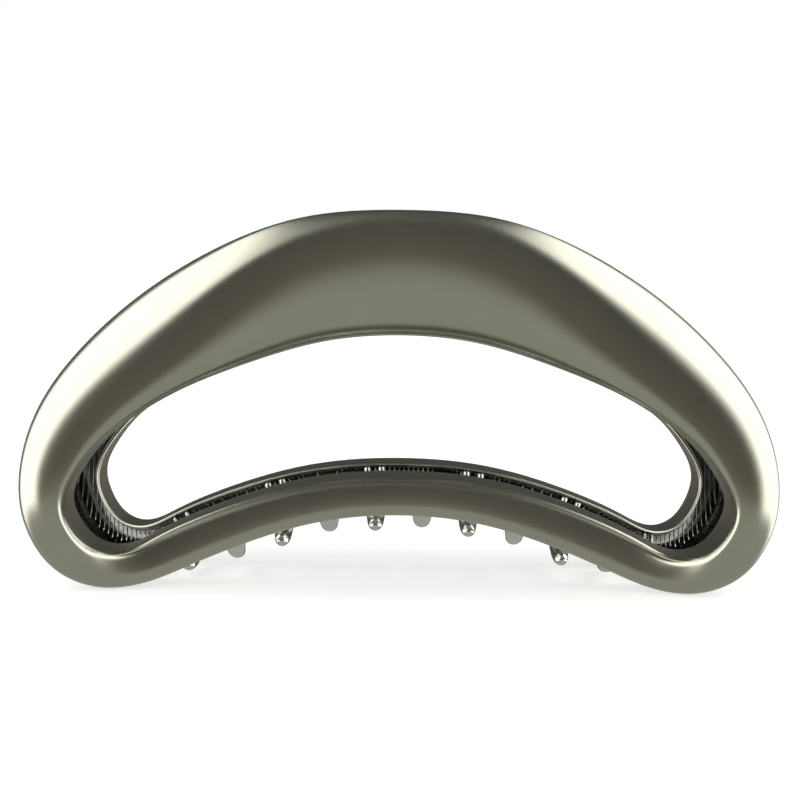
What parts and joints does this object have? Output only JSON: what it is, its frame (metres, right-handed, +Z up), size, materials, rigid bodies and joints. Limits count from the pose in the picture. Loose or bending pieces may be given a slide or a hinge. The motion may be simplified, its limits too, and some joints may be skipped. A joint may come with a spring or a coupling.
{
  "type": "claw hair clip",
  "caption": "Crescent-shaped two-jaw spring claw clip for hair, satin metal rings with large windows, ribbed bright insides and interleaving curved teeth.",
  "frame": {"origin": "middle of the clip at the level of the four horns it stands on", "axes": "+X along the clip, the front jaw on the -Y side, +Z up towards the hinge and the handles"},
  "size_m": [0.108, 0.0484, 0.0547],
  "materials": {
    "satin_nickel": "satin nickel plating on moulded ABS, fine even grain, no brush lines",
    "bright_chrome": "bright chrome plating on moulded ABS, fine vertical ribs inside the channels",
    "spring_steel": "drawn steel wire",
    "pin_steel": "polished turned steel"
  },
  "bodies": {
    "rear_jaw": {"rear_shell": "satin_nickel", "rear_liner": "bright_chrome", "rear_tooth_comb": "bright_chrome", "rear_hinge_bracket": "bright_chrome", "hinge_pin": "spring_steel", "pin_cap_left": "pin_steel", "pin_cap_right": "pin_steel", "torsion_spring": "spring_steel"},
    "front_jaw": {"front_shell": "satin_nickel", "front_liner": "bright_chrome", "front_tooth_comb": "bright_chrome", "front_hinge_bracket": "bright_chrome"}
  },
  "joints": [
    {"name": "jaw_hinge", "type": "hinge", "parent": "rear_jaw", "child": "front_jaw", "pos_m": [0, 0, 0.0415], "axis": [-1, 0, 0], "range_deg": [0, 60], "stiffness_Nm_per_rad": 0.15, "springref_deg": -40.11, "deforming": ["torsion_spring"]}
  ]
}
